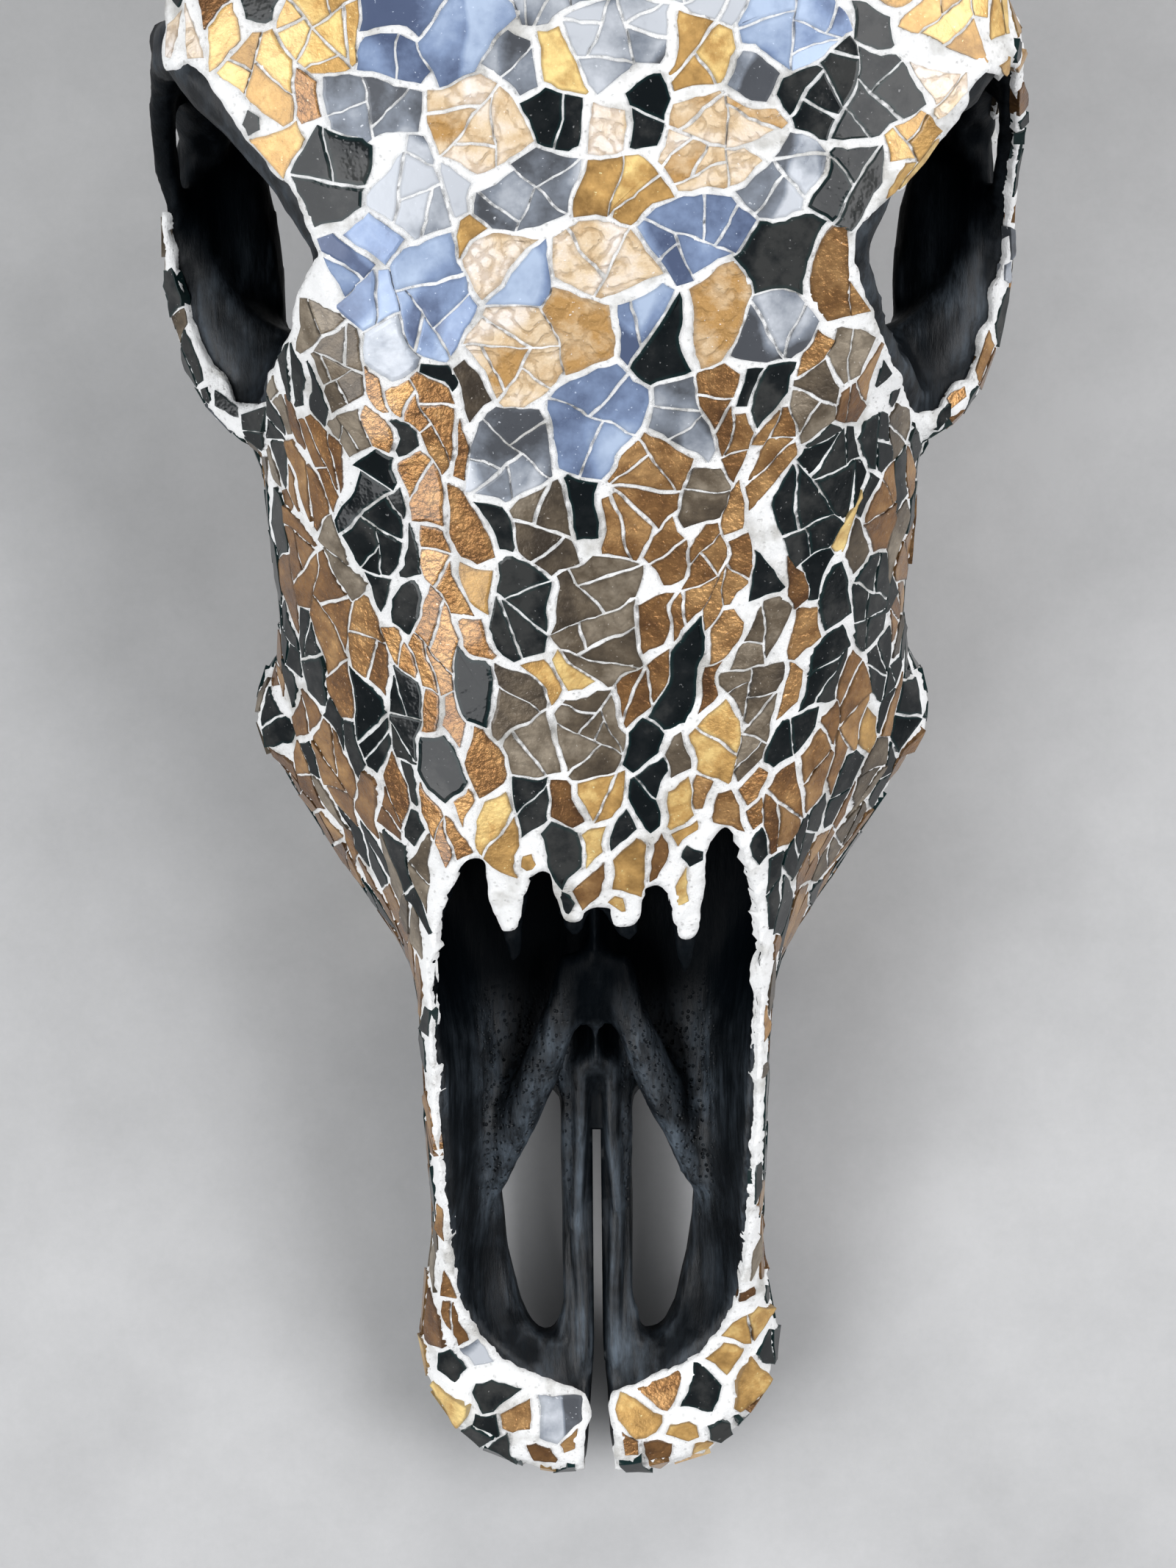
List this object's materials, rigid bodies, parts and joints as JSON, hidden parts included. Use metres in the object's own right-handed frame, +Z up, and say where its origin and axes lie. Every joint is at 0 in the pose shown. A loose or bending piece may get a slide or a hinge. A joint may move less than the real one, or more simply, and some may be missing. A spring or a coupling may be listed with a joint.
{
  "type": "mosaic cow skull",
  "caption": "Horned cow skull covered outside with a mosaic of broken glass, with bare black bone in its eye sockets and nose; it rests on its cheek teeth.",
  "frame": {"origin": "middle of the base of the bounding box, in the plane of the biting faces of the cheek teeth", "axes": "+Z up from the biting plane to the forehead; -Y towards the muzzle, +Y towards the poll and horns; +X towards the animal's left"},
  "size_m": [0.4312, 0.6046, 0.2391],
  "materials": {
    "bone": "bone painted matte black, with a glass and grout mosaic in black, bronze, gold and grey over its outside",
    "horn": "dark horn, half polished",
    "tooth": "worn tooth, stained at the gum line"
  },
  "bodies": {
    "root": {"skull": "bone", "horn_left": "horn", "horn_right": "horn", "premolar_2_left": "tooth", "premolar_2_right": "tooth", "premolar_3_left": "tooth", "premolar_3_right": "tooth", "premolar_4_left": "tooth", "premolar_4_right": "tooth", "molar_1_left": "tooth", "molar_1_right": "tooth", "molar_2_left": "tooth", "molar_2_right": "tooth", "molar_3_left": "tooth", "molar_3_right": "tooth"}
  },
  "joints": []
}
